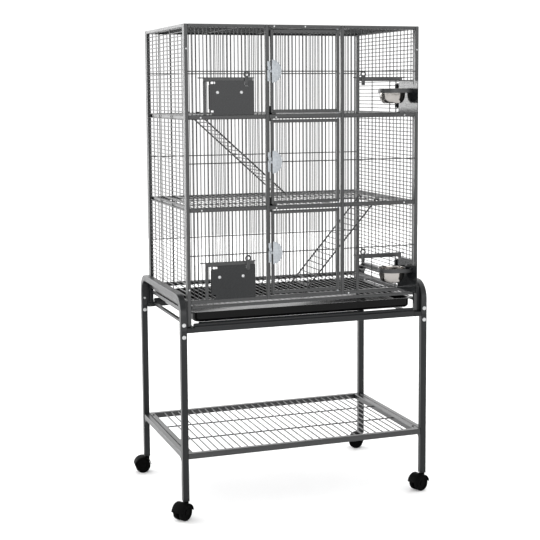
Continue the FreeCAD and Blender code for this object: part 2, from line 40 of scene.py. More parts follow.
# the cage's own sizes in millimetres, as the solids have them, but with round and thicker bars
cage = {
    "wide": 393.5, "inner": 381.5, "front": -249.0, "back": 249.0, "inside": 237.0, "post": 12.0,
    "foot": 607.0, "top": 1539.0, "topRail": 1529.0, "rails": (678.0, 964.0, 1250.0), "rail": 12.0,
    "doorway": 121.5, "doorPost": 11.0, "barR": 1.45, "stayR": 1.65, "edge": 1.6, "wall": 661.6,
    "pitch": 12.7, "stayGap": 2.8,  # between bars, and from a bar's middle to its stay's
}
midHeights = (827.0, 1113.0, 1395.5)


# modelling helpers
def deselectAll():
    if bpy.context.mode != "OBJECT":
        bpy.ops.object.mode_set(mode="OBJECT")
    bpy.ops.object.select_all(action="DESELECT")


def pick(piece):
    deselectAll()
    piece.select_set(True)
    bpy.context.view_layer.objects.active = piece


def settle(name):
    piece = bpy.context.active_object
    piece.name = name
    piece.data.name = name
    bpy.ops.object.transform_apply(location=True, rotation=True, scale=True)
    return piece


def editAll(piece):
    pick(piece)
    bpy.ops.object.mode_set(mode="EDIT")
    bpy.ops.mesh.select_all(action="SELECT")


def useModifier(piece, kind, **settings):
    pick(piece)
    mod = piece.modifiers.new(kind.title(), kind)
    for key, value in settings.items():
        setattr(mod, key, value)
    bpy.ops.object.modifier_apply(modifier=mod.name)
    return piece


# leaves edit mode open with only the edges whose ends (in mm) pass the test
def selectEdges(piece, test):
    editAll(piece)
    bpy.ops.mesh.select_mode(type="EDGE")
    bpy.ops.mesh.select_all(action="DESELECT")
    bpy.ops.object.mode_set(mode="OBJECT")
    for edge in piece.data.edges:
        a, b = (piece.data.vertices[k].co / mm for k in edge.vertices)
        edge.select = test(a, b)
    bpy.ops.object.mode_set(mode="EDIT")


def selectFaces(piece, test):
    editAll(piece)
    bpy.ops.mesh.select_mode(type="FACE")
    bpy.ops.mesh.select_all(action="DESELECT")
    bpy.ops.object.mode_set(mode="OBJECT")
    for face in piece.data.polygons:
        face.select = test(face.center / mm, face.normal)
    bpy.ops.object.mode_set(mode="EDIT")


def spanAround(middle, half):
    return middle - half, middle + half


# the same limits on the left (-1) or right (1), or at the front and the back
def sided(sign, limits):
    return [sign * v for v in limits]


# a straight tube or flat between limits along x, y and z, with rounded edges
def addTube(x, y, z, edge=None, segments=2):
    deselectAll()
    spans = [sorted(s) for s in (x, y, z)]
    middle = [(a + b) / 2 * mm for a, b in spans]
    size = [(b - a) * mm for a, b in spans]
    bpy.ops.mesh.primitive_cube_add(size=1, location=middle, scale=size)
    piece = settle("tube")
    bpy.ops.object.mode_set(mode="EDIT")
    bpy.ops.mesh.select_all(action="SELECT")
    bpy.ops.mesh.bevel(offset=(cage["edge"] if edge is None else edge) * mm, segments=segments, affect="EDGES")
    bpy.ops.object.mode_set(mode="OBJECT")
    return piece


def addRod(a, b, radius, sides=8, soft=0.0):
    deselectAll()
    start = Vector(a) * mm
    end = Vector(b) * mm
    run = end - start
    turn = run.to_track_quat("Z", "Y").to_euler()
    bpy.ops.mesh.primitive_cylinder_add(vertices=sides, radius=radius * mm, depth=run.length,
                                        location=(start + end) / 2, rotation=turn)
    piece = settle("rod")
    if soft:
        along = run.normalized()
        selectEdges(piece, lambda a, b: abs((b - a).normalized().dot(along)) < 0.5)
        bpy.ops.mesh.bevel(offset=soft * mm, segments=2, affect="EDGES")
        bpy.ops.mesh.select_mode(type="VERT")
        bpy.ops.object.mode_set(mode="OBJECT")
    bpy.ops.object.shade_smooth_by_angle(angle=math.radians(50))
    return piece


def arrayed(piece, count, step):
    return useModifier(piece, "ARRAY", count=count, use_relative_offset=False, use_constant_offset=True,
                       constant_offset_displace=[s * mm for s in step])


def spaced(low, high, pitch):
    gaps = round((high - low) / pitch)
    return gaps - 1, (high - low) / gaps


# a wire and its copies between two limits along one axis
def wireRow(low, high, pitch, axis, place):
    count, step = spaced(low, high, pitch)
    start, end = place(low + step)
    shift = [0, 0, 0]
    shift[axis] = step
    return arrayed(addRod(start, end, cage["barR"]), count, shift)


# four tubes around a flat rectangle: x is half its width, y its two limits
def rimFrame(x, y, z, rim):
    inside = (y[0] + rim, y[1] - rim)
    ends = [addTube((-x, x), (y[0], inside[0]), z), addTube((-x, x), (inside[1], y[1]), z)]
    return ends + [addTube((s * x, s * (x - rim)), inside, z) for s in (-1, 1)]


def softEdges(piece, width):
    useModifier(piece, "BEVEL", width=width * mm, segments=2, limit_method="ANGLE", angle_limit=math.radians(50))


def cutAway(piece, cutter):
    useModifier(piece, "BOOLEAN", operation="DIFFERENCE", object=cutter, solver="EXACT")
    bpy.data.objects.remove(cutter)


def joinParts(parts, name):
    deselectAll()
    for part in parts:
        part.select_set(True)
    bpy.context.view_layer.objects.active = parts[0]
    if len(parts) > 1:
        bpy.ops.object.join()
    piece = bpy.context.active_object
    piece.name = name
    piece.data.name = name
    return piece


# coated pieces keep the shading of their tubes (flat) and rods (round)
def finishPiece(piece, finish, body, node=None, angle=None):
    piece.data.materials.clear()
    piece.data.materials.append(finish)
    pick(piece)
    if angle or finish not in (coat, sheetCoat, standCoat):
        bpy.ops.object.shade_smooth_by_angle(angle=math.radians(angle or 35))
    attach(piece, body)
    if node:
        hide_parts(node)


def assemble(name, parts, finish, body, node=None, angle=None):
    finishPiece(joinParts(parts, name), finish, body, node, angle)


# a closed or open profile of (radius, height) turned about an upright axis
def turned(name, profile, centre, steps):
    deselectAll()
    bpy.ops.mesh.primitive_plane_add(size=mm, location=(0, 0, 0))
    piece = settle(name)
    bpy.ops.object.mode_set(mode="EDIT")
    bpy.ops.mesh.select_all(action="SELECT")
    bpy.ops.mesh.merge(type="CENTER")
    first = Vector((profile[0][0], 0, profile[0][1])) * mm
    bpy.ops.transform.translate(value=first)
    for (r0, z0), (r1, z1) in zip(profile, profile[1:]):
        step = Vector((r1 - r0, 0, z1 - z0)) * mm
        bpy.ops.mesh.extrude_vertices_move(TRANSFORM_OT_translate={"value": step})
    bpy.ops.mesh.select_all(action="SELECT")
    bpy.ops.mesh.spin(steps=steps, angle=2 * math.pi, center=(0, 0, 0), axis=(0, 0, 1))
    bpy.ops.mesh.select_all(action="SELECT")
    bpy.ops.mesh.remove_doubles(threshold=0.00001)
    bpy.ops.mesh.normals_make_consistent(inside=False)
    bpy.ops.object.mode_set(mode="OBJECT")
    piece.location = Vector(centre) * mm
    pick(piece)
    bpy.ops.object.transform_apply(location=True, rotation=True, scale=True)
    return piece


def copyOf(piece, name):
    pick(piece)
    bpy.ops.object.duplicate()
    twin = bpy.context.active_object
    twin.name = name
    twin.data.name = name
    return twin


# moves a mesh by a matrix and bakes the move in
def placed(piece, matrix):
    pick(piece)
    piece.matrix_world = matrix
    bpy.ops.object.transform_apply(location=True, rotation=True, scale=True)
    return piece


def mirroredX(piece):
    editAll(piece)
    bpy.ops.transform.resize(value=(-1, 1, 1), center_override=(0, 0, 0))
    bpy.ops.mesh.flip_normals()
    bpy.ops.object.mode_set(mode="OBJECT")


print("helpers ready")


# shader helpers
class Sock:
    def __init__(self, tree, out):
        self.tree = tree
        self.out = out

    def math(self, op, other, swap=False):
        a, b = (other, self) if swap else (self, other)
        return self.tree.node("ShaderNodeMath", {"operation": op}, [a, b])

    def __add__(self, other):
        return self.math("ADD", other)

    __radd__ = __add__

    def __sub__(self, other):
        return self.math("SUBTRACT", other)

    def __rsub__(self, other):
        return self.math("SUBTRACT", other, True)

    def __mul__(self, other):
        return self.math("MULTIPLY", other)

    __rmul__ = __mul__


class Finish:
    def __init__(self, name, store=None, coords="Object"):
        self.owner = (bpy.data.materials if store is None else store).new(name)
        self.owner.use_nodes = True
        self.nodes = self.owner.node_tree.nodes
        self.links = self.owner.node_tree.links
        self.nodes.clear()
        self.place = self.node("ShaderNodeTexCoord", {}, {}, coords)

    def node(self, kind, settings, values, out=0):
        made = self.nodes.new(kind)
        for key, value in settings.items():
            setattr(made, key, value)
        pairs = values.items() if isinstance(values, dict) else enumerate(values)
        for key, value in pairs:
            if isinstance(value, Sock):
                self.links.new(value.out, made.inputs[key])
            else:
                made.inputs[key].default_value = value
        return Sock(self, made.outputs[out])

    def noise(self, scale, detail=3.0, rough=0.55):
        return self.node("ShaderNodeTexNoise", {}, {"Vector": self.place, "Scale": scale, "Detail": detail,
                                                    "Roughness": rough}, "Fac")

    def ramp(self, value, low, high):
        return self.node("ShaderNodeMapRange", {"clamp": True}, {"Value": value, "From Min": low, "From Max": high},
                         "Result")

    def mix(self, amount, first, second):
        return self.node("ShaderNodeMix", {"data_type": "RGBA"}, {0: amount, 6: first, 7: second}, 2)

    def bump(self, height, strength, distance):
        return self.node("ShaderNodeBump", {}, {"Height": height, "Strength": strength, "Distance": distance},
                         "Normal")

    def done(self, **sockets):
        shader = self.node("ShaderNodeBsdfPrincipled", {}, {k.replace("_", " "): v for k, v in sockets.items()})
        output = self.nodes.new("ShaderNodeOutputMaterial")
        self.links.new(shader.out, output.inputs["Surface"])
        return self.owner


def grey(level, warm=0.0):
    return (level * (1 + warm), level, level * (1 - warm), 1.0)


coatLook = {"dark": 0.005, "light": 0.012, "dimple": 620.0, "speckle": 2600.0, "crumple": 0.0, "rough": 0.24,
            "bump": 0.22, "ior": 1.55}
sheetLook = {**coatLook, "rough": 0.07, "bump": 0.04, "ior": 1.37}
standLook = {**coatLook, "ior": 1.31}


def makeCoat(name, look):
    f = Finish(name)
    dimple = f.noise(look["dimple"], 2.0)
    speckle = f.noise(look["speckle"], 2.0, 0.7)
    cloud = f.noise(9.0, 3.0)
    tone = f.ramp(dimple * 0.6 + speckle * 0.4, 0.36, 0.66)
    wear = f.ramp(cloud, 0.3, 0.75)
    base = f.mix(tone, grey(look["dark"], -0.10), grey(look["light"], -0.10))
    base = f.mix(wear * 0.25, base, grey(look["light"] * 1.4, -0.06))
    rough = look["rough"] + speckle * 0.12 + wear * 0.05
    height = dimple + speckle * 0.35
    if look["crumple"]:
        split = f.node("ShaderNodeSeparateXYZ", {}, [f.place])
        y, z = (Sock(f, split.out.node.outputs[k]) for k in (1, 2))
        bent = f.ramp(y * y, 0.036, 0.046) * f.ramp(z, 0.625, 0.645)
        height = height + bent * f.noise(52.0, 1.0) * look["crumple"]
    return f.done(Base_Color=base, Roughness=rough, Normal=f.bump(height, look["bump"], 0.0006), IOR=look["ior"])


zincLook = {"pale": 0.38, "dull": 0.28, "spangle": 160.0, "cool": -0.06}


def makeZinc(name, look):
    f = Finish(name)
    spangle = f.noise(look["spangle"], 3.0)
    fine = f.noise(1900.0, 2.0)
    tone = f.ramp(spangle, 0.32, 0.7)
    base = f.mix(tone, grey(look["dull"], look["cool"]), grey(look["pale"], look["cool"]))
    rough = 0.32 + tone * 0.12 + fine * 0.1
    return f.done(Base_Color=base, Roughness=rough, Metallic=0.5, Normal=f.bump(fine + spangle * 0.4, 0.12, 0.0004))


steelLook = {"bright": 0.36, "dull": 0.27, "warm": 0.05}


def makeSteel(name, look):
    f = Finish(name)
    stretch = f.node("ShaderNodeMapping", {}, {"Vector": f.place, "Scale": (1.0, 1.0, 90.0)})
    lines = f.node("ShaderNodeTexNoise", {}, {"Vector": stretch, "Scale": 40.0, "Detail": 3.0, "Roughness": 0.6},
                   "Fac")
    smear = f.noise(38.0, 3.0)
    tone = f.ramp(lines * 0.7 + smear * 0.3, 0.3, 0.7)
    base = f.mix(tone, grey(look["dull"], look["warm"]), grey(look["bright"], look["warm"]))
    rough = 0.05 + lines * 0.07 + smear * 0.05
    return f.done(Base_Color=base, Roughness=rough, Metallic=1.0, Normal=f.bump(lines, 0.08, 0.0002))


def makeTrayBlack(name):
    f = Finish(name)
    ripple = f.noise(26.0, 2.0)
    dust = f.noise(420.0, 4.0, 0.7)
    base = f.mix(f.ramp(dust, 0.45, 0.8), grey(0.0018), grey(0.004, -0.05))
    rough = 0.04 + f.ramp(dust, 0.4, 0.75) * 0.08
    return f.done(Base_Color=base, Roughness=rough, Normal=f.bump(ripple, 0.03, 0.002), IOR=1.2)


def makePlastic(name, level, ior, dull):
    f = Finish(name)
    grain = f.noise(1300.0, 3.0)
    scuff = f.noise(60.0, 4.0, 0.65)
    marks = f.ramp(scuff, 0.55, 0.8)
    base = f.mix(marks * 0.5, grey(level), grey(level * 2.4, 0.02))
    rough = dull + grain * 0.12 + marks * 0.18
    return f.done(Base_Color=base, Roughness=rough, Normal=f.bump(grain, 0.10, 0.0003), IOR=ior)


coat = makeCoat("charcoalCoat", coatLook)
bentCoat = makeCoat("bentCoat", {**standLook, "ior": 1.38, "crumple": 9.0})
standCoat = makeCoat("standCoat", standLook)
sheetCoat = makeCoat("sheetCoat", sheetLook)
zinc = makeZinc("zincPlate", zincLook)
steel = makeSteel("spunSteel", steelLook)
trayBlack = makeTrayBlack("glossTray")
casterBlack = makePlastic("casterBlack", 0.0012, 1.11, 0.55)
plugBlack = makePlastic("plugBlack", 0.010, 1.4, 0.33)
boltBright = makeZinc("boltBright", {"pale": 0.60, "dull": 0.46, "spangle": 240.0, "cool": -0.01})
print("finishes ready")


# fixed front sides: posts, rails, hatch frames and upright wires
hatchLook = {"hinge": 314.0, "outer": (325.0, 335.0), "free": (174.0, 183.0), "tall": 107.0, "head": 8.0,
             "lipLow": 101.8, "lip": 4.5, "railDeep": 5.8, "wireY": -242.0, "stayY": -239.2,
             "headWire": (167.0, 350.0), "clear": 2.4}


def frontSide(sign, name, node):
    h = hatchLook
    front = cage["front"]
    deep = (front, front + cage["post"])
    shallow = (front, front + h["railDeep"])
    run = (sign * (cage["doorway"] + cage["doorPost"]), sign * cage["inner"])
    parts = [addTube((sign * cage["inner"], sign * cage["wide"]), deep, (cage["foot"], cage["top"])),
             addTube((sign * cage["doorway"], run[0]), deep, (cage["rails"][0], cage["top"])),
             addTube(run, deep, (cage["topRail"], cage["top"]))]
    for k, z in enumerate(cage["rails"]):
        parts.append(addTube(run, deep if k == 0 else shallow, (z, z + cage["rail"])))
    heads = []
    for k in (0, 2):
        low = cage["rails"][k] + cage["rail"]
        heads.append(low + h["tall"])
        for upright in (h["outer"], h["free"]):  # the uprights beside the hatch, then its head in two depths
            parts.append(addTube(sided(sign, upright), shallow, (low, low + h["lipLow"] + 0.2), 1.2))
        head = (sign * h["free"][0], sign * h["outer"][1])
        parts.append(addTube(head, (front, front + h["lip"]), (low + h["lipLow"], heads[-1] + h["head"]), 1.6, 3))
        parts.append(addTube(head, (front + 1, shallow[1]), (heads[-1], heads[-1] + h["head"]), 1.6))
    low = cage["rails"][0] + cage["rail"]
    count, step = spaced(abs(run[0]), cage["inner"], cage["pitch"])
    at = [abs(run[0]) + step * (k + 1) for k in range(count)]
    cut = [x for x in at if h["free"][1] - h["clear"] < x < h["outer"][0] + h["clear"]]  # bars above a hatch
    near = [x for x in at if x < cut[0]]
    far = [x for x in at if x > cut[-1]]
    y = h["wireY"]
    rows = [(near, low, cage["topRail"]), (far, low, cage["topRail"]),
            (cut, heads[0], cage["rails"][2] + cage["rail"]), (cut, heads[1], cage["topRail"])]
    for xs, z0, z1 in rows:
        x = sign * xs[0]
        parts.append(arrayed(addRod((x, y, z0), (x, y, z1), cage["barR"]), len(xs), (sign * step, 0, 0)))
    for z in midHeights:
        parts.append(addRod((run[0], h["stayY"], z), (run[1], h["stayY"], z), cage["stayR"]))
    for head in heads:
        ends = [(sign * x, h["stayY"], head + h["head"] - cage["stayR"]) for x in h["headWire"]]
        parts.append(addRod(ends[0], ends[1], cage["stayR"], 8, 0.6))
    assemble(name, parts, coat, "cage", node)


frontSide(-1, "leftFrontGrille", "front_left_panel")
frontSide(1, "rightFrontGrille", "front_right_panel")


# cross rails with the small stop plates behind the latch side of the doors
stopLook = {"x": (-121.5, -109.0), "arm": -95.0, "armZ": (-1.0, 7.0), "y": (-238.6, -237.0), "above": 26.0,
            "below": 9.0, "soft": 0.4}


def crossRails():
    s = stopLook
    x = (-cage["doorway"], cage["doorway"])
    deep = (cage["front"], cage["front"] + cage["post"])
    parts = [addTube(x, deep, (z, z + cage["rail"])) for z in cage["rails"]]
    parts.append(addTube(x, deep, (cage["topRail"], cage["top"])))
    for z in cage["rails"][1:]:
        top = z + cage["rail"]
        parts.append(addTube(s["x"], s["y"], (z - s["below"], top + s["above"]), s["soft"]))
        parts.append(addTube((s["x"][0], s["arm"]), s["y"], [top + v for v in s["armZ"]], s["soft"]))
    parts.append(addTube(s["x"], s["y"], (cage["topRail"] - s["above"], cage["topRail"] + 1), s["soft"]))
    assemble("crossRails", parts, coat, "cage", "front_cross_rails")


crossRails()


# side, back and top grilles
grilleLook = {"side": 10.0, "sideWire": 6.0, "sideStays": (-48, 98), "backWire": 7.0, "topRim": 8.0, "topDrop": 1.0}


def sideGrille(sign, name, node):
    g = grilleLook
    out = cage["inside"]
    clear = out - g["side"]
    skin = (sign * cage["inner"], sign * cage["wide"])
    z = (cage["wall"], cage["top"])
    low = z[0] + cage["rail"]
    parts = [addTube(skin, (-out, -clear), z), addTube(skin, (clear, out), z),
             addTube(skin, (-clear, clear), (z[0], low)),
             addTube(skin, (-clear, clear), (cage["topRail"], cage["top"]))]
    x = sign * (cage["wide"] - g["sideWire"])
    parts.append(wireRow(low, cage["topRail"], cage["pitch"], 2, lambda h: ((x, -clear, h), (x, clear, h))))
    xs = x - sign * cage["stayGap"]
    for y in g["sideStays"]:
        parts.append(addRod((xs, y, low), (xs, y, cage["topRail"]), cage["stayR"]))
    assemble(name, parts, coat, "cage", node)


sideGrille(-1, "leftGrille", "left_panel")
sideGrille(1, "rightGrille", "right_panel")


def backGrille():
    skin = (cage["inside"], cage["back"])
    run = (-cage["inner"], cage["inner"])
    low = cage["wall"] + cage["rail"]
    parts = [addTube((s * cage["inner"], s * cage["wide"]), skin, (cage["foot"], cage["top"])) for s in (-1, 1)]
    parts.append(addTube(run, skin, (cage["wall"], low)))
    parts.append(addTube(run, skin, (cage["topRail"], cage["top"])))
    y = cage["back"] - grilleLook["backWire"]
    parts.append(wireRow(run[0], run[1], cage["pitch"], 0, lambda x: ((x, y, low), (x, y, cage["topRail"]))))
    stayY = y - cage["stayGap"]
    for z in midHeights:
        parts.append(addRod((run[0], stayY, z), (run[1], stayY, z), cage["stayR"]))
    assemble("backGrille", parts, standCoat, "cage", "back_panel")


backGrille()


def topGrille():
    x = cage["inner"]
    y = cage["inside"]
    rim = grilleLook["topRim"]
    z = (cage["topRail"], cage["top"] - grilleLook["topDrop"])
    parts = rimFrame(x, (-y, y), z, rim)
    level = z[1] - cage["barR"]
    parts.append(wireRow(rim - y, y - rim, cage["pitch"], 1, lambda v: ((rim - x, v, level), (x - rim, v, level))))
    under = level - cage["stayGap"]
    for v in (-x / 2, 0, x / 2):
        parts.append(addRod((v, rim - y, under), (v, y - rim, under), cage["stayR"]))
    assemble("topGrille", parts, standCoat, "cage", "top_panel")


topGrille()
print("cage grilles ready")


# doors with their pins
doorLook = {"half": 116.0, "frame": 10.0, "gap": 4.5, "wireY": -244.0, "pinX": 111.0, "pinY": -244.0, "pinR": 2.45,
            "pinDeep": 5.0, "lap": 0.4}


def makeDoor(k, word):
    d = doorLook
    bottom = cage["rails"][k] + cage["rail"] + d["gap"]
    top = (cage["rails"][k + 1] if k < 2 else cage["topRail"]) - d["gap"]
    deep = (cage["front"], cage["front"] + d["frame"])
    inside = d["half"] - d["frame"]
    body = word + "_door"
    parts = [addTube((s * inside, s * d["half"]), deep, (bottom, top)) for s in (-1, 1)]
    for z in ((bottom, bottom + d["frame"]), (top - d["frame"], top)):
        parts.append(addTube((-inside - d["lap"], inside + d["lap"]), deep, z))
    y = d["wireY"]
    z0 = bottom + d["frame"]
    z1 = top - d["frame"]
    parts.append(wireRow(-inside, inside, cage["pitch"], 0, lambda x: ((x, y, z0), (x, y, z1))))
    middle = (bottom + top) / 2
    stayY = y + cage["stayGap"]
    parts.append(addRod((-inside, stayY, middle), (inside, stayY, middle), cage["stayR"]))
    assemble(word + "DoorLeaf", parts, coat, body, word + "_door")
    long = d["gap"] + d["pinDeep"]
    pins = [addRod((d["pinX"], d["pinY"], z), (d["pinX"], d["pinY"], z + long), d["pinR"], 16, 0.6)
            for z in (bottom - long, top)]
    assemble(word + "DoorPins", pins, zinc, body, word + "_door_pins")
    return middle


doorMiddles = {word: makeDoor(k, word) for k, word in enumerate(("lower", "middle", "upper"))}
print("doors ready")


# latches: bent keeper strips on the post, half-round levers on the doors
keeperLook = {"x": (-127.5, -117.5), "tall": 62.0, "sheet": 1.6, "lipZ": (4.5, 15.0), "lipOut": 6.8,
              "rivetX": -122.2, "rivetZ": (-22.0, 23.0), "rivetY": (-2.5, -1.2), "rivetR": 2.4}
leverLook = {"x": -111.0, "tall": 72.0, "wide": 32.0, "straight": -113.75, "y": (-255.4, -252.4), "stampR": 12.5,
             "stampX": 14.0, "nose": 10.5, "noseY": (-4.8, -3.4), "noseHalf": 3.0, "soft": 0.8,
             "pivot": ((-0.4, -3.6, 5.5, 24, 0), (-5.9, 9.6, 2.2, 16, 0.4), (-6.3, -5.3, 4.2, 24, 0.5))}


def makeKeepers():
    k = keeperLook
    front = cage["front"]
    out = front - k["lipOut"]
    parts = []
    for middle in doorMiddles.values():
        parts.append(addTube(k["x"], (front - k["sheet"], front), spanAround(middle, k["tall"] / 2), 0.7))
        lip = [middle + v for v in k["lipZ"]]
        parts.append(addTube((k["x"][0], k["x"][0] + k["sheet"]), (out, front), lip, 0.6))
        parts.append(addTube(k["x"], (out, out + k["sheet"]), lip, 0.6))
        for v in k["rivetZ"]:
            ends = [(k["rivetX"], front + y, middle + v) for y in k["rivetY"]]
            parts.append(addRod(ends[0], ends[1], k["rivetR"], 16, 0.5))
    assemble("latchKeepers", parts, zinc, "cage", "latch_keepers")


makeKeepers()


def makeLever(word, middle):
    k = leverLook
    deselectAll()
    bpy.ops.mesh.primitive_cylinder_add(vertices=48, radius=1, depth=1, location=(0, 0, 0),
                                        rotation=(math.pi / 2, 0, 0))
    plate = settle("plate")
    editAll(plate)
    bpy.ops.transform.resize(value=Vector((k["wide"], k["y"][1] - k["y"][0], k["tall"] / 2)) * mm)
    bpy.ops.mesh.bisect(plane_co=(0, 0, 0), plane_no=(1, 0, 0), use_fill=True, clear_inner=True)
    bpy.ops.mesh.select_all(action="SELECT")
    bpy.ops.transform.translate(value=Vector((k["straight"], sum(k["y"]) / 2, middle)) * mm)
    bpy.ops.mesh.normals_make_consistent(inside=False)
    bpy.ops.object.mode_set(mode="OBJECT")
    softEdges(plate, k["soft"])
    y = cage["front"]
    x = k["x"]
    deselectAll()
    bpy.ops.mesh.primitive_cylinder_add(vertices=3, radius=k["stampR"] * mm, depth=2 * mm,
                                        rotation=(math.pi / 2, 0, 0),
                                        location=Vector((x + k["stampX"], k["y"][0], middle)) * mm)
    cutAway(plate, settle("stamp"))
    parts = [plate]
    for a, b, radius, sides, soft in k["pivot"]:  # washer, pin and the pin's head
        parts.append(addRod((x, y + a, middle), (x, y + b, middle), radius, sides, soft))
    noseY = [y + v for v in k["noseY"]]
    parts.append(addTube((x - k["nose"], x), noseY, spanAround(middle, k["noseHalf"]), 0.5))
    assemble(word + "LatchPlate", parts, zinc, word + "_latch", word + "_latch_lever")


for word, middle in doorMiddles.items():
    makeLever(word, middle)
print("latches ready")


# feeder hatches: sheet, barrel and rod; ring with straps; spun bowl; turning catch
feeder = {"axisY": -246.0, "sheet": (-250.9, -249.4), "edge": 173.0, "corner": 5.0, "sheetZ": (-0.5, 104.5),
          "through": (-256.0, -244.0), "barrelR": 3.55, "rodR": 1.9, "strap": 2.0, "strapX": 33.4, "bowlTall": 45.0,
          "notches": ((-303.0, 4.0, 14.0), (-297.0, 95.0, 101.8)), "play": 0.35,
          "bowlU": 64.0, "bowlV": 46.0, "ringRise": 64.0, "ringTall": 12.0, "ringR": 42.5, "open": 92.0,
          "screwZ": 69.0, "screws": (290.0, 213.0), "screwR": 4.9, "screwTall": 2.4, "nutY": (2.0, 4.6), "nutR": 4.4}
catchLook = {"x": -196.0, "rise": 4.0, "off": 0.3, "thick": 1.5, "tongueHalf": 6.0, "tongueZ": (-22.0, 6.0),
             "tip": 2.6, "eyeRise": 13.0, "eyeR": 7.6, "eyeWire": 2.8, "pressed": 0.34, "pinR": 2.0, "headR": 3.4,
             "headY": (-2.4, -1.2)}


def hatchSheet(low):
    f = feeder
    hinge = -hatchLook["hinge"]
    z = (low + f["sheetZ"][0], low + f["sheetZ"][1])
    inside = hinge + f["corner"]
    sheet = addTube((inside, -f["edge"]), f["sheet"], z, 0.4)
    tip = low + hatchLook["tall"] + catchLook["rise"] + catchLook["tongueZ"][0] - f["play"]
    across = spanAround(catchLook["x"], catchLook["tongueHalf"] + f["play"])
    cuts = [addTube(across, f["through"], (tip, z[1] + 8), 3.0, 3)]
    cuts += [addTube((hinge - 9, x), f["through"], (low + a, low + b), 1.0) for x, a, b in f["notches"]]
    for cutter in cuts:
        cutAway(sheet, cutter)
    tabZ = (low + f["notches"][0][2], low + f["notches"][1][1])
    tab = addTube((hinge - 1.9, inside + 0.3), f["sheet"], tabZ, 0.4)
    y = f["axisY"]
    barrel = addRod((hinge, y, tabZ[0] + 3.5), (hinge, y, tabZ[1] - 3.5), f["barrelR"], 20, 0.6)
    rod = addRod((hinge, y, low - 5), (hinge, y, low + hatchLook["tall"] + 5), f["rodR"], 12)
    return [sheet, tab, barrel, rod]


def hatchRing(low):
    f = feeder
    hinge = -hatchLook["hinge"]
    cx = hinge + f["bowlU"]
    cy = f["axisY"] + f["bowlV"]
    z = (low + f["ringRise"], low + f["ringRise"] + f["ringTall"])
    inner = f["ringR"]
    outer = inner + f["strap"]
    band = turned("band", [(inner, z[0] + 0.5), (inner + 0.5, z[0]), (outer - 0.5, z[0]), (outer, z[0] + 0.5),
                           (outer, z[1] - 0.5), (outer - 0.5, z[1]), (inner + 0.5, z[1]), (inner, z[1] - 0.5),
                           (inner, z[0] + 0.5)], (cx, cy, 0), 48)
    parts = [band]
    start = f["sheet"][1]
    for way in (-1, 1):
        parts.append(addTube((cx + way * inner, cx + way * outer), (start, cy), z, 0.5))
        parts.append(addTube((cx + way * f["strapX"], cx + way * outer), (start, start + f["strap"]), z, 0.5))
    return parts


def hatchBowl(low):
    f = feeder
    top = low + f["ringRise"] + f["ringTall"] + 0.3
    cx = -hatchLook["hinge"] + f["bowlU"]
    cy = f["axisY"] + f["bowlV"]
    base = top - f["bowlTall"]
    outside = [(0, base), (27.5, base), (30.5, base + 1.6), (33.8, base + 5), (36.8, base + 9.5), (38.9, base + 15),
               (40.2, base + 24), (41.0, base + 36), (41.3, top - 0.2), (42.6, top + 0.1), (43.6, top + 0.3)]
    rim = [(44.0, top + 0.8), (43.7, top + 1.3), (43.0, top + 1.5), (41.8, top + 1.4), (40.6, top + 0.4)]
    within = [(39.9, top - 4), (39.6, base + 34), (38.9, base + 23), (37.6, base + 14.5), (35.6, base + 9.6),
              (32.8, base + 5.6), (29.6, base + 2.4), (27.0, base + 1.4), (0, base + 1.4)]
    return turned("bowl", outside + rim + within, (cx, cy, 0), 56)


# pan head with a crossed recess, standing on z = 0 around the origin
def crossHead(r, tall):
    head = turned("head", [(0, 0), (r, 0), (r, tall * 0.3), (r * 0.93, tall * 0.62), (r * 0.74, tall * 0.88),
                           (r * 0.42, tall), (0, tall * 1.02)], (0, 0, 0), 20)
    for long, wide in ((r * 0.76, r * 0.2), (r * 0.2, r * 0.76)):
        cutAway(head, addTube((-long, long), (-wide, wide), (tall * 0.35, tall * 2), 0.02))
    return head


def facingFront(head, spot):
    turn = Matrix.Translation(Vector(spot) * mm) @ Matrix.Rotation(math.pi / 2, 4, "X")
    return placed(copyOf(head, "screw"), turn)


def hatchScrews(low):
    f = feeder
    head = crossHead(f["screwR"], f["screwTall"])
    nutY = [f["sheet"][1] + v for v in f["nutY"]]
    z = low + f["screwZ"]
    parts = []
    for x in f["screws"]:
        parts.append(facingFront(head, (-x, f["sheet"][0], z)))
        parts.append(addRod((-x, nutY[0], z), (-x, nutY[1], z), f["nutR"], 6, 0.4))
    bpy.data.objects.remove(head)
    return parts


def hatchCatch(low):
    c = catchLook
    x = c["x"]
    z = low + hatchLook["tall"] + c["rise"]
    y = feeder["sheet"][0] - c["off"]
    centre = Vector((x, y - c["thick"] / 2, z + c["eyeRise"])) * mm
    deselectAll()
    bpy.ops.mesh.primitive_torus_add(location=centre, rotation=(math.pi / 2, 0, 0), major_radius=c["eyeR"] * mm,
                                     minor_radius=c["eyeWire"] * mm, major_segments=28, minor_segments=8)
    eye = settle("eye")
    editAll(eye)
    bpy.ops.transform.resize(value=(1, c["pressed"], 1), center_override=centre)
    bpy.ops.object.mode_set(mode="OBJECT")
    low, high = (z + v for v in c["tongueZ"])
    tongue = addTube(spanAround(x, c["tongueHalf"]), (y - c["thick"], y), (low, high), 0.4)
    selectEdges(tongue, lambda a, b: abs(a.y - b.y) > 0.5 and max(a.z, b.z) < low + 1)
    bpy.ops.mesh.bevel(offset=c["tip"] * mm, segments=3, affect="EDGES")
    bpy.ops.mesh.select_mode(type="VERT")
    bpy.ops.object.mode_set(mode="OBJECT")
    pin = addRod((x, y - 2.2, z), (x, cage["front"] + hatchLook["railDeep"], z), c["pinR"], 16, 0.4)
    head = addRod((x, y + c["headY"][0], z), (x, y + c["headY"][1], z), c["headR"], 20, 0.5)
    return [eye, tongue, pin, head]


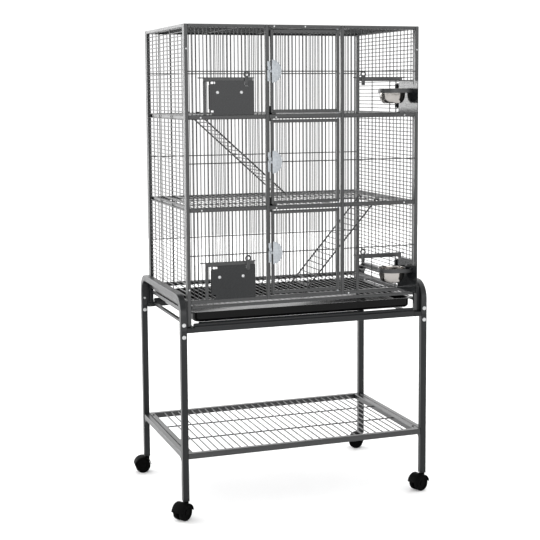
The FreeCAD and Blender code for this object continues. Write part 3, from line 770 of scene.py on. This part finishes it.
# swings the right hatches open about their rods
openTurn = (Matrix.Translation(Vector((hatchLook["hinge"], feeder["axisY"], 0)) * mm)
            @ Matrix.Rotation(math.radians(feeder["open"]), 4, "Z")
            @ Matrix.Translation(Vector((-hatchLook["hinge"], -feeder["axisY"], 0)) * mm))


def makeFeeder(k, word):
    low = cage["rails"][k] + cage["rail"]
    for side in ("left", "right"):
        tag = side + "_" + word
        name = side + word.title()
        hatch = tag + "_hatch"
        made = {"HatchSheet": (joinParts(hatchSheet(low), "sheet"), sheetCoat, hatch, "coated_steel", hatch),
                "BowlRing": (joinParts(hatchRing(low), "ring"), coat, hatch, "zinc", tag + "_ring"),
                "Bowl": (hatchBowl(low), steel, tag + "_bowl", "stainless", tag + "_bowl"),
                "HatchScrews": (joinParts(hatchScrews(low), "screws"), boltBright, hatch, "zinc", None)}
        for key, (piece, finish, body, slot, node) in made.items():
            if side == "right":
                mirroredX(piece)
                placed(piece, openTurn)
            piece.name = name + key
            piece.data.name = name + key
            finishPiece(piece, finish, body, node, 20 if key == "BowlRing" else None)
        catch = joinParts(hatchCatch(low), name + "Catch")
        if side == "right":
            mirroredX(catch)
        finishPiece(catch, coat, tag + "_catch", tag + "_catch", 35)


makeFeeder(0, "lower")
makeFeeder(2, "upper")
print("feeders ready")


# wire platforms, ramps, grate and tray
floorLook = {"pitch": 20.0, "rim": 8.0, "rimTall": 14.0, "wellEdge": 257.0, "wellLong": 150.0, "wellBack": -65.0,
             "rod": 5.0, "rodDrop": 4.0, "wireDrop": 2.2, "upperRise": 286.0}


def makePlatform(name, node, turned180):
    p = floorLook
    top = cage["rails"][1] + cage["rail"]
    z = (top - p["rimTall"], top)
    x = cage["inner"]
    y = cage["inside"]
    rim = p["rim"]
    parts = rimFrame(x, (-y, y), z, rim)
    well = (p["wellEdge"] - p["wellLong"], p["wellEdge"])
    lip = (well[0] - p["rod"], well[1] + p["rod"])
    mid = top - p["rodDrop"]
    rodR = p["rod"] / 2
    back = p["wellBack"] + rodR
    for at in (well[0] - rodR, well[1] + rodR):  # rods around the stair well
        parts.append(addRod((at, rim - y, mid), (at, back, mid), rodR, 12))
    parts.append(addRod((lip[0], back, mid), (lip[1], back, mid), rodR, 12, 0.8))
    count, step = spaced(-x, x, p["pitch"])
    at = [-x + step * (k + 1) for k in range(count)]
    level = top - p["wireDrop"]
    rows = [([v for v in at if v <= lip[0]], rim - y), ([v for v in at if lip[0] < v < lip[1]], back + 2),
            ([v for v in at if v >= lip[1]], rim - y)]
    for xs, start in rows:
        wire = addRod((xs[0], start, level), (xs[0], y - rim, level), cage["barR"])
        parts.append(arrayed(wire, len(xs), (step, 0, 0)))
    under = level - cage["stayGap"]
    for a, b, v in ((rim - x, x - rim, y / 3), (rim - x, lip[0], -y / 3), (lip[1], x - rim, -y / 3)):
        parts.append(addRod((a, v, under), (b, v, under), cage["stayR"]))
    piece = joinParts(parts, name)
    if turned180:
        placed(piece, Matrix.Translation((0, 0, p["upperRise"] * mm)) @ Matrix.Rotation(math.pi, 4, "Z"))
    finishPiece(piece, coat, "cage", node)


makePlatform("middlePlatform", "middle_platform", False)
makePlatform("upperPlatform", "upper_platform", True)

rampLook = {"y": (-217.0, -72.0), "rail": 5.0, "pitch": 21.0, "play": 1.6, "hook": 12.0, "lap": 1.2, "rungIn": 4.0,
            "lower": (-5.0, 672.6, 976.0), "upper": (-52.0, 976.6, 1262.0)}  # x and z of the foot, z of the floor


def makeRamp(name, node, place, turned180):
    p = rampLook
    footX, footZ, floorZ = place
    near = floorLook["wellEdge"] - p["play"]
    far = floorLook["wellEdge"] + floorLook["rod"] + p["play"]
    top = floorZ - 1 + p["play"]
    half = p["rail"] / 2
    head = Vector((near - half, 0, top - p["rail"]))
    start = Vector((footX, 0, footZ + p["rail"]))
    slope = (head - start).normalized()
    parts = []
    for y in (p["y"][0] + half, p["y"][1] - half):
        off = Vector((0, y, 0))
        parts.append(addRod(start + off, head + off + slope * 1.0, half, 12, 0.8))
        bend = [Vector((near - half, y, head.z - 0.5)), Vector((near - half, y, top + half)),
                Vector((far + half, y, top + half)), Vector((far + half, y, top - p["hook"]))]
        for a, b in zip(bend, bend[1:]):
            way = (b - a).normalized()
            past = p["lap"] if b is not bend[-1] else 0
            parts.append(addRod(a - way * p["lap"], b + way * past, half * 0.98, 12, 0.9))
    count, step = spaced(0, (head - start).length, p["pitch"])
    first = start + slope * step
    ends = (p["y"][0] + p["rungIn"], p["y"][1] - p["rungIn"])
    rung = addRod((first.x, ends[0], first.z), (first.x, ends[1], first.z), cage["stayR"])
    parts.append(arrayed(rung, count, slope * step))
    piece = joinParts(parts, name)
    if turned180:
        placed(piece, Matrix.Rotation(math.pi, 4, "Z"))
    finishPiece(piece, coat, node, node, 35)


makeRamp("lowerRamp", "lower_ramp", rampLook["lower"], False)
makeRamp("upperRamp", "upper_ramp", rampLook["upper"], True)

grateLook = {"x": 379.5, "y": (-247.0, 233.0), "z": (662.0, 672.0)}


def makeGrate():
    g = grateLook
    rim = floorLook["rim"]
    x = g["x"]
    parts = rimFrame(x, g["y"], g["z"], rim)
    inside = (g["y"][0] + rim, g["y"][1] - rim)
    level = g["z"][1] - floorLook["wireDrop"]
    under = level - cage["stayGap"]
    parts.append(wireRow(-x, x, floorLook["pitch"], 0, lambda v: ((v, inside[0], level), (v, inside[1], level))))
    for k in (1, 2):
        v = g["y"][0] + (g["y"][1] - g["y"][0]) * k / 3
        parts.append(addRod((rim - x, v, under), (x - rim, v, under), cage["stayR"]))
    assemble("litterGrate", parts, coat, "grate", "grate")


makeGrate()

trayLook = {"x": 372.0, "y": (-245.0, 231.0), "z": (619.3, 651.5), "corner": 24.0, "bottom": 13.0, "wall": 2.4,
            "flange": (380.0, 481.0, -6.5)}  # flange: half width, length, middle along y


def makeTray():
    t = trayLook
    wall = t["wall"]
    x = t["x"] - wall
    y = (t["y"][0] + wall, t["y"][1] - wall)
    z = (t["z"][0] + wall, t["z"][1])
    deselectAll()
    middle = Vector((0, sum(y) / 2, sum(z) / 2)) * mm
    bpy.ops.mesh.primitive_cube_add(size=1, location=middle, scale=Vector((2 * x, y[1] - y[0], z[1] - z[0])) * mm)
    tray = settle("tray")
    selectEdges(tray, lambda a, b: abs(a.z - b.z) > 5)
    bpy.ops.mesh.bevel(offset=(t["corner"] - wall) * mm, segments=6, affect="EDGES")
    selectEdges(tray, lambda a, b: max(a.z, b.z) < z[0] + 0.1)
    bpy.ops.mesh.bevel(offset=(t["bottom"] - wall) * mm, segments=5, affect="EDGES")
    selectFaces(tray, lambda at, way: way.z > 0.9 and at.z > z[1] - 1)
    bpy.ops.mesh.delete(type="FACE")
    selectEdges(tray, lambda a, b: min(a.z, b.z) > z[1] - 0.1)
    bpy.ops.mesh.extrude_edges_move(TRANSFORM_OT_translate={"value": (0, 0, 0)})
    wide = t["flange"][0] / x
    long = t["flange"][1] / (y[1] - y[0])
    bpy.ops.transform.resize(value=(wide, long, 1), center_override=Vector((0, t["flange"][2], z[1])) * mm)
    editAll(tray)
    bpy.ops.mesh.select_mode(type="VERT")
    bpy.ops.mesh.normals_make_consistent(inside=False)
    bpy.ops.object.mode_set(mode="OBJECT")
    if max(tray.data.polygons, key=lambda face: face.area).normal.z < 0:  # the floor of the tray looks up
        editAll(tray)
        bpy.ops.mesh.flip_normals()
        bpy.ops.object.mode_set(mode="OBJECT")
    useModifier(tray, "SOLIDIFY", thickness=wall * mm, offset=-1.0, use_even_offset=True)
    softEdges(tray, 0.7)
    assemble("litterTray", [tray], trayBlack, "tray", "tray", 45)


makeTray()


# each flat has its limits along x, half its length and its limits along z
runnerLook = {"flats": (((372.0, 393.5), 236.5, (659.6, 661.6)), ((387.2, 389.0), 237.0, (640.0, 651.0)),
                        ((374.5, 387.4), 236.5, (646.7, 648.7))), "soft": 0.4,
              "hangerX": 388.1, "hangers": (-79, 79), "hangerZ": (650, 660), "hangerR": 1.5}


def makeRunners():
    r = runnerLook
    parts = []
    for s in (-1, 1):
        for x, half, z in r["flats"]:
            parts.append(addTube(sided(s, x), (-half, half), z, r["soft"]))
        for y in r["hangers"]:
            ends = [(s * r["hangerX"], y, z) for z in r["hangerZ"]]
            parts.append(addRod(ends[0], ends[1], r["hangerR"]))
    assemble("trayRunners", parts, coat, "cage", "runners")


makeRunners()
print("floors, ramps and tray ready")


# stand: bent arches, legs, beams, shelf
stand = {"x": 411.0, "y": 256.0, "leg": 20.0, "legZ": (59.0, 598.0), "bend": 50.0, "archTop": 698.0, "edge": 2.0,
         "insertHalf": 8.1, "insertZ": (553.0, 598.5), "shelfZ": (191.0, 209.0)}


def makeArch(sign, name, node):
    s = stand
    x = sign * s["x"] * mm
    y = s["y"] * mm
    z = s["legZ"][1] * mm
    bend = s["bend"] * mm
    rise = s["archTop"] * mm - bend - z
    deselectAll()
    bpy.ops.mesh.primitive_plane_add(size=s["leg"] * mm, location=(x, -y, z))
    arch = settle(name)
    editAll(arch)
    bpy.ops.mesh.bevel(offset=s["edge"] * mm, segments=3, affect="VERTICES")
    bpy.ops.mesh.select_all(action="SELECT")
    bpy.ops.mesh.select_mode(type="FACE")
    bpy.ops.mesh.extrude_region_move(TRANSFORM_OT_translate={"value": (0, 0, rise)})
    bpy.ops.mesh.spin(steps=14, angle=math.pi / 2, center=(x, bend - y, z + rise), axis=(1, 0, 0))
    bpy.ops.mesh.extrude_region_move(TRANSFORM_OT_translate={"value": (0, 2 * (y - bend), 0)})
    bpy.ops.mesh.spin(steps=14, angle=math.pi / 2, center=(x, y - bend, z + rise), axis=(1, 0, 0))
    bpy.ops.mesh.extrude_region_move(TRANSFORM_OT_translate={"value": (0, 0, -rise)})
    bpy.ops.mesh.select_mode(type="VERT")
    bpy.ops.mesh.select_all(action="SELECT")
    bpy.ops.mesh.remove_doubles(threshold=0.00002)
    bpy.ops.mesh.normals_make_consistent(inside=False)
    bpy.ops.object.mode_set(mode="OBJECT")
    across = spanAround(sign * s["x"], s["insertHalf"])
    inserts = [addTube(across, spanAround(v, s["insertHalf"]), s["insertZ"], 1.0) for v in (-s["y"], s["y"])]
    assemble(name, [arch] + inserts, bentCoat, "cage", node, 14)


makeArch(-1, "leftArchTube", "left_arch")
makeArch(1, "rightArchTube", "right_arch")

# side, front or back, and the caster's heading in degrees
corners = {"front_left": (-1, -1, 35.0), "back_left": (-1, 1, -7.0), "front_right": (1, -1, 20.0),
           "back_right": (1, 1, -30.0)}
plugLook = {"flangeZ": (57.0, 59.0), "half": 8.4, "z": (58.5, 84.0), "soft": 0.6}


def camelName(words):
    first, rest = words.split("_")
    return first + rest.title()


# limits along x and y of a square about a leg's middle
def legSquare(corner, half):
    return [spanAround(side * stand[axis], half) for side, axis in zip(corner, "xy")]


def makeLegs():
    s = stand
    p = plugLook
    half = s["leg"] / 2
    for words, corner in corners.items():
        leg = addTube(*legSquare(corner, half), s["legZ"], s["edge"], 3)
        assemble(camelName(words) + "LegTube", [leg], standCoat, "cage", words + "_leg")
    plugs = []
    for corner in corners.values():
        plugs.append(addTube(*legSquare(corner, half), p["flangeZ"], p["soft"]))
        plugs.append(addTube(*legSquare(corner, p["half"]), p["z"], p["soft"]))
    assemble("legPlugs", plugs, plugBlack, "cage", "leg_plugs")


makeLegs()


beamLook = {"z": (591.0, 611.5, 619.0), "y": (240.0, 265.0), "half": 378.0, "lipHalf": 377.0, "lipY": (246.6, 258.0),
            "round": 4.0, "endX": (376.0, 401.0), "endTop": 607.0,
            "stripX": (393.3, 401.2), "stripY": (246.0, 250.0), "stripZ": (606.0, 690.0),
            "flangeX": (-355.0, 206.0), "flangeY": (-240.5, -234.5, -232.5), "flangeZ": (600.0, 603.0),
            "sideX": (369.0, 381.0), "sideY": (-240.0, 240.0), "sideZ": (596.5, 604.5)}


def makeBeams():
    b = beamLook
    low, mid, high = b["z"]
    parts = []
    for s in (-1, 1):
        y = sided(s, b["y"])
        parts.append(addTube((-b["half"], b["half"]), y, (low, mid), b["round"], 4))
        lip = (mid - b["round"], high)
        parts.append(addTube((-b["lipHalf"], b["lipHalf"]), sided(s, b["lipY"]), lip, b["round"], 4))
        for e in (-1, 1):  # flat ends, and the strips between the cage's posts and the arches
            parts.append(addTube(sided(e, b["endX"]), y, (low, b["endTop"])))
            parts.append(addTube(sided(e, b["stripX"]), sided(s, b["stripY"]), b["stripZ"], 0.8))
    outer, web, inner = b["flangeY"]  # angle under the tray, behind the front beam
    parts.append(addTube(b["flangeX"], (web, inner), (b["flangeZ"][0], high), 0.6))
    parts.append(addTube(b["flangeX"], (outer, inner), b["flangeZ"], 0.6))
    assemble("standBeams", parts, standCoat, "cage", "beams")
    sides = [addTube(sided(s, b["sideX"]), b["sideY"], b["sideZ"], 1.2) for s in (-1, 1)]
    assemble("sideBeams", sides, standCoat, "cage", "side_beams")


makeBeams()


shelfLook = {"longHalf": 401.0, "railHalf": 9.0, "innerX": (383.0, 400.5), "outerX": (402.5, 419.5), "outerY": 246.0,
             "pitch": 24.8, "wires": 14, "wireR": 2.2, "wireDrop": 3.0,
             "crossHalf": 384.0, "crossY": 82.3, "crossR": 2.3, "crossDrop": 6.8}


def makeShelf():
    s = shelfLook
    z = stand["shelfZ"]
    deep = stand["y"] - s["railHalf"]
    parts = [addTube((-s["longHalf"], s["longHalf"]), spanAround(e * stand["y"], s["railHalf"]), z) for e in (-1, 1)]
    for x, half in ((s["innerX"], deep + 0.5), (s["outerX"], s["outerY"])):
        parts += [addTube(sided(e, x), (-half, half), z) for e in (-1, 1)]
    level = z[1] - s["wireDrop"]
    first = -s["pitch"] * s["wires"]
    wire = addRod((first, -deep - 1, level), (first, deep + 1, level), s["wireR"])
    parts.append(arrayed(wire, 2 * s["wires"] + 1, (s["pitch"], 0, 0)))
    under = z[1] - s["crossDrop"]
    for y in (-s["crossY"], s["crossY"]):
        parts.append(addRod((-s["crossHalf"], y, under), (s["crossHalf"], y, under), s["crossR"]))
    assemble("wireShelf", parts, coat, "cage", "shelf")


makeShelf()


gussetLook = {"long": 28.0, "half": 8.0, "y": 246.0}


# a block under the shelf's end with a round hollow cut out of it
def makeGussets():
    g = gussetLook
    parts = []
    for sx, sy, _ in corners.values():
        block = addTube((-g["half"], g["half"]), (0, g["long"]), (-g["long"], 0), 0.3)
        deselectAll()
        bpy.ops.mesh.primitive_cylinder_add(vertices=64, radius=g["long"] * mm, depth=5 * g["half"] * mm,
                                            location=Vector((0, g["long"], -g["long"])) * mm,
                                            rotation=(0, math.pi / 2, 0))
        cutAway(block, settle("disc"))
        turn = Matrix.Translation(Vector((sx * stand["x"], sy * g["y"], stand["shelfZ"][0])) * mm)
        if sy > 0:
            turn = turn @ Matrix.Rotation(math.pi, 4, "Z")
        parts.append(placed(block, turn))
    assemble("shelfGussets", parts, standCoat, "cage", "gussets")


makeGussets()
print("stand ready")


# casters: hooded twin wheels
casterLook = {"wheelR": 26.0, "off": 4.0, "wide": 16.0, "hoodR": 29.5, "hoodHalf": 22.0, "hoodWall": 2.0,
              "skirt": 3.0, "trail": 16.0, "webHalf": 3.2, "axleR": 3.0, "axleHalf": 4.5,
              "bossZ": 46.0, "top": 56.6, "stemR": 4.0, "stemTop": 84.6}


def casterWheels():
    c = casterLook
    r = c["wheelR"]
    a = c["off"]
    b = c["off"] + c["wide"]
    tread = [(0, a), (9, a), (9.5, a + 0.6), (r - 3, a + 0.6), (r - 0.6, a + 1.4), (r, a + 2.6), (r, b - 4),
             (r - 0.9, b - 1.8), (r - 3, b - 0.5), (r - 5, b), (r - 7.5, b - 0.2), (r - 8.2, b - 2.2), (9, b - 2.6),
             (8.2, b - 0.6), (0, b - 0.4)]
    parts = []
    for way in (-1, 1):
        disc = turned("disc", tread, (0, 0, 0), 40)
        turn = Matrix.Translation((-c["trail"] * mm, 0, r * mm)) @ Matrix.Rotation(way * -math.pi / 2, 4, "X")
        parts.append(placed(disc, turn))
    parts.append(addRod((-c["trail"], -c["axleHalf"], r), (-c["trail"], c["axleHalf"], r), c["axleR"], 16))
    return joinParts(parts, "wheels")


def casterHood():
    c = casterLook
    axle = Vector((-c["trail"], 0, c["wheelR"]))
    deselectAll()
    bpy.ops.mesh.primitive_cylinder_add(vertices=64, radius=c["hoodR"] * mm, depth=2 * c["hoodHalf"] * mm,
                                        location=axle * mm, rotation=(math.pi / 2, 0, 0), end_fill_type="NOTHING")
    cap = settle("cap")
    editAll(cap)
    bpy.ops.mesh.bisect(plane_co=(0, 0, (c["wheelR"] + c["skirt"]) * mm), plane_no=(0, 0, 1), clear_inner=True)
    bpy.ops.object.mode_set(mode="OBJECT")
    useModifier(cap, "SOLIDIFY", thickness=c["hoodWall"] * mm, offset=-1.0)
    softEdges(cap, 0.7)
    thick = (-c["webHalf"], c["webHalf"])
    web = addTube(spanAround(axle.x, 8), thick, (axle.z - 8, axle.z + 28.4), 1.0)
    rib = addTube(spanAround(axle.x, 22), thick, (axle.z + 8, axle.z + 17), 1.0)
    low, top, stemR, tip = (c[k] for k in ("bossZ", "top", "stemR", "stemTop"))
    boss = turned("boss", [(0, low), (8.6, low), (9, low + 1), (9, 54), (8.2, 56), (7, top), (stemR, top),
                           (stemR, tip - 0.6), (stemR - 0.8, tip), (0, tip)], (0, 0, 0), 28)
    return joinParts([cap, web, rib, boss], "hood")


def makeCasters():
    hood = casterHood()
    wheels = casterWheels()
    for words, (sx, sy, heading) in corners.items():
        place = (Matrix.Translation(Vector((sx * stand["x"], sy * stand["y"], 0)) * mm)
                 @ Matrix.Rotation(math.radians(heading), 4, "Z"))
        name = camelName(words)
        finishPiece(placed(copyOf(hood, name + "CasterHood"), place), casterBlack, words + "_swivel",
                    words + "_caster_hood")
        finishPiece(placed(copyOf(wheels, name + "CasterWheels"), place), casterBlack, words + "_wheels",
                    words + "_caster_wheels")
    bpy.data.objects.remove(hood)
    bpy.data.objects.remove(wheels)


makeCasters()
print("casters ready")


# bolts through the legs, screws on the cage front and studs on the shelf
boltLook = {"front": (617.0, 579.0), "back": (622.5, 581.0), "headR": 6.4, "smallR": 4.0, "headTall": 3.0,
            "screwR": 2.7, "screwTall": 1.4,
            "screws": ((-98.5, 1252.5), (-99.5, 968.5), (-103, 1533.5), (0, 1533.5), (-344, 1254.5), (-344, 969),
                       (344, 1254.5), (344, 969.5), (147, 682), (-387, 1464), (387, 1464), (-387, 723), (387, 723)),
            "studs": ((-392, -225), (392, -225), (-392, 225), (392, 225))}


def makeBolts():
    b = boltLook
    large = crossHead(b["headR"], b["headTall"])
    small = crossHead(b["smallR"], b["headTall"] * 0.7)
    parts = []
    half = stand["leg"] / 2
    for sx in (-1, 1):
        x = sx * stand["x"]
        parts += [facingFront(large, (x, -stand["y"] - half, z)) for z in b["front"]]
        parts.append(facingFront(small, (x, stand["y"] - half, b["back"][0])))
        parts.append(facingFront(large, (x, stand["y"] - half, b["back"][1])))
    tiny = crossHead(b["screwR"], b["screwTall"])
    parts += [facingFront(tiny, (x, cage["front"], z)) for x, z in b["screws"]]
    for head in (large, tiny):
        bpy.data.objects.remove(head)
    assemble("standBolts", parts, boltBright, "cage")
    studs = []
    for x, y in b["studs"]:
        place = Matrix.Translation(Vector((x, y, stand["shelfZ"][1])) * mm)
        studs.append(placed(copyOf(small, "stud"), place))
    bpy.data.objects.remove(small)
    assemble("shelfStuds", studs, plugBlack, "cage")


makeBolts()
print("bolts ready")


# room, light and camera
room = {"floor": 14.0, "behind": 1.12, "dim": 0.14, "sides": 1.1, "above": 1.0, "front": 3.0, "panel": 7.6,
        "backTop": 0.6, "keyPower": 16.0, "fillPower": 8.0}


# brightness by direction: dim in front, pale behind, at the sides and above, with a front glow and a panel back left
def makeWorld():
    r = room
    w = Finish("studio", bpy.data.worlds, "Generated")
    split = w.node("ShaderNodeSeparateXYZ", {}, [w.place])
    x, y, z = (Sock(w, split.out.node.outputs[k]) for k in range(3))
    level = w.ramp(y, -0.35, 0.35) * (r["behind"] - r["dim"]) + r["dim"]
    level = level + w.ramp(x * x, 0.12, 0.60) * (r["sides"] - r["dim"])
    level = level + w.ramp(z, 0.35, 0.9) * (r["above"] - r["dim"])
    level = level + w.ramp(y * -1.0, 0.75, 0.95) * w.ramp(z, -0.2, -0.05) * w.ramp(z, 0.5, 0.3) * r["front"]
    level = level + w.ramp(x * -1.0, 0.30, 0.45) * w.ramp(y, 0.3, 0.6) * w.ramp(z, 0.4, 0.25) * r["panel"]
    level = level + w.ramp(y, 0.6, 0.85) * w.ramp(z, 0.09, 0.16) * w.ramp(z, 0.5, 0.35) * r["backTop"]
    glow = w.node("ShaderNodeBackground", {}, {"Color": (1, 1, 1, 1), "Strength": level})
    output = w.nodes.new("ShaderNodeOutputWorld")
    w.links.new(glow.out, output.inputs["Surface"])
    bpy.context.scene.world = w.owner


def makeRoom():
    f = Finish("paleFloor")
    mottle = f.noise(2.0, 2.0)
    floorFinish = f.done(Base_Color=f.mix(mottle, grey(0.95), grey(0.98)), Roughness=0.9)
    deselectAll()
    bpy.ops.mesh.primitive_plane_add(size=room["floor"], location=(0, 0, 0))
    floor = settle("studioFloor")
    floor.data.materials.append(floorFinish)
    for name, place, size, power in (("keyLight", (-2.6, -2.4, 3.2), 1.8, room["keyPower"]),
                                     ("fillLight", (2.8, -3.0, 2.4), 2.2, room["fillPower"])):
        bpy.ops.object.light_add(type="AREA", location=place)
        lamp = bpy.context.active_object
        lamp.name = name
        lamp.data.size = size
        lamp.data.energy = power
        lamp.rotation_euler = (Vector((0, 0, 0.9)) - Vector(place)).to_track_quat("-Z", "Y").to_euler()


makeWorld()
makeRoom()

lensLook = {"place": (-1.3827, -3.8291, 1.3319), "yaw": -19.404, "pitch": 6.225, "roll": -0.40, "lens": 80.864,
            "shiftY": -0.085}


def makeCamera():
    c = lensLook
    yaw, pitch, roll = (math.radians(c[k]) for k in ("yaw", "pitch", "roll"))
    right = Vector((math.cos(yaw), math.sin(yaw), 0))
    ahead = Vector((-math.sin(yaw) * math.cos(pitch), math.cos(yaw) * math.cos(pitch), -math.sin(pitch)))
    up = right.cross(ahead)
    tilted = right * math.cos(roll) + up * math.sin(roll)
    upright = up * math.cos(roll) - right * math.sin(roll)
    turn = Matrix((tilted, upright, -ahead)).transposed().to_4x4()
    bpy.ops.object.camera_add()
    camera = bpy.context.active_object
    camera.name = "photoCamera"
    camera.matrix_world = Matrix.Translation(c["place"]) @ turn
    camera.data.sensor_width = 36.0
    camera.data.lens = c["lens"]
    camera.data.shift_y = c["shiftY"]
    bpy.context.scene.camera = camera


makeCamera()
bpy.context.scene.view_settings.view_transform = "Standard"
deselectAll()
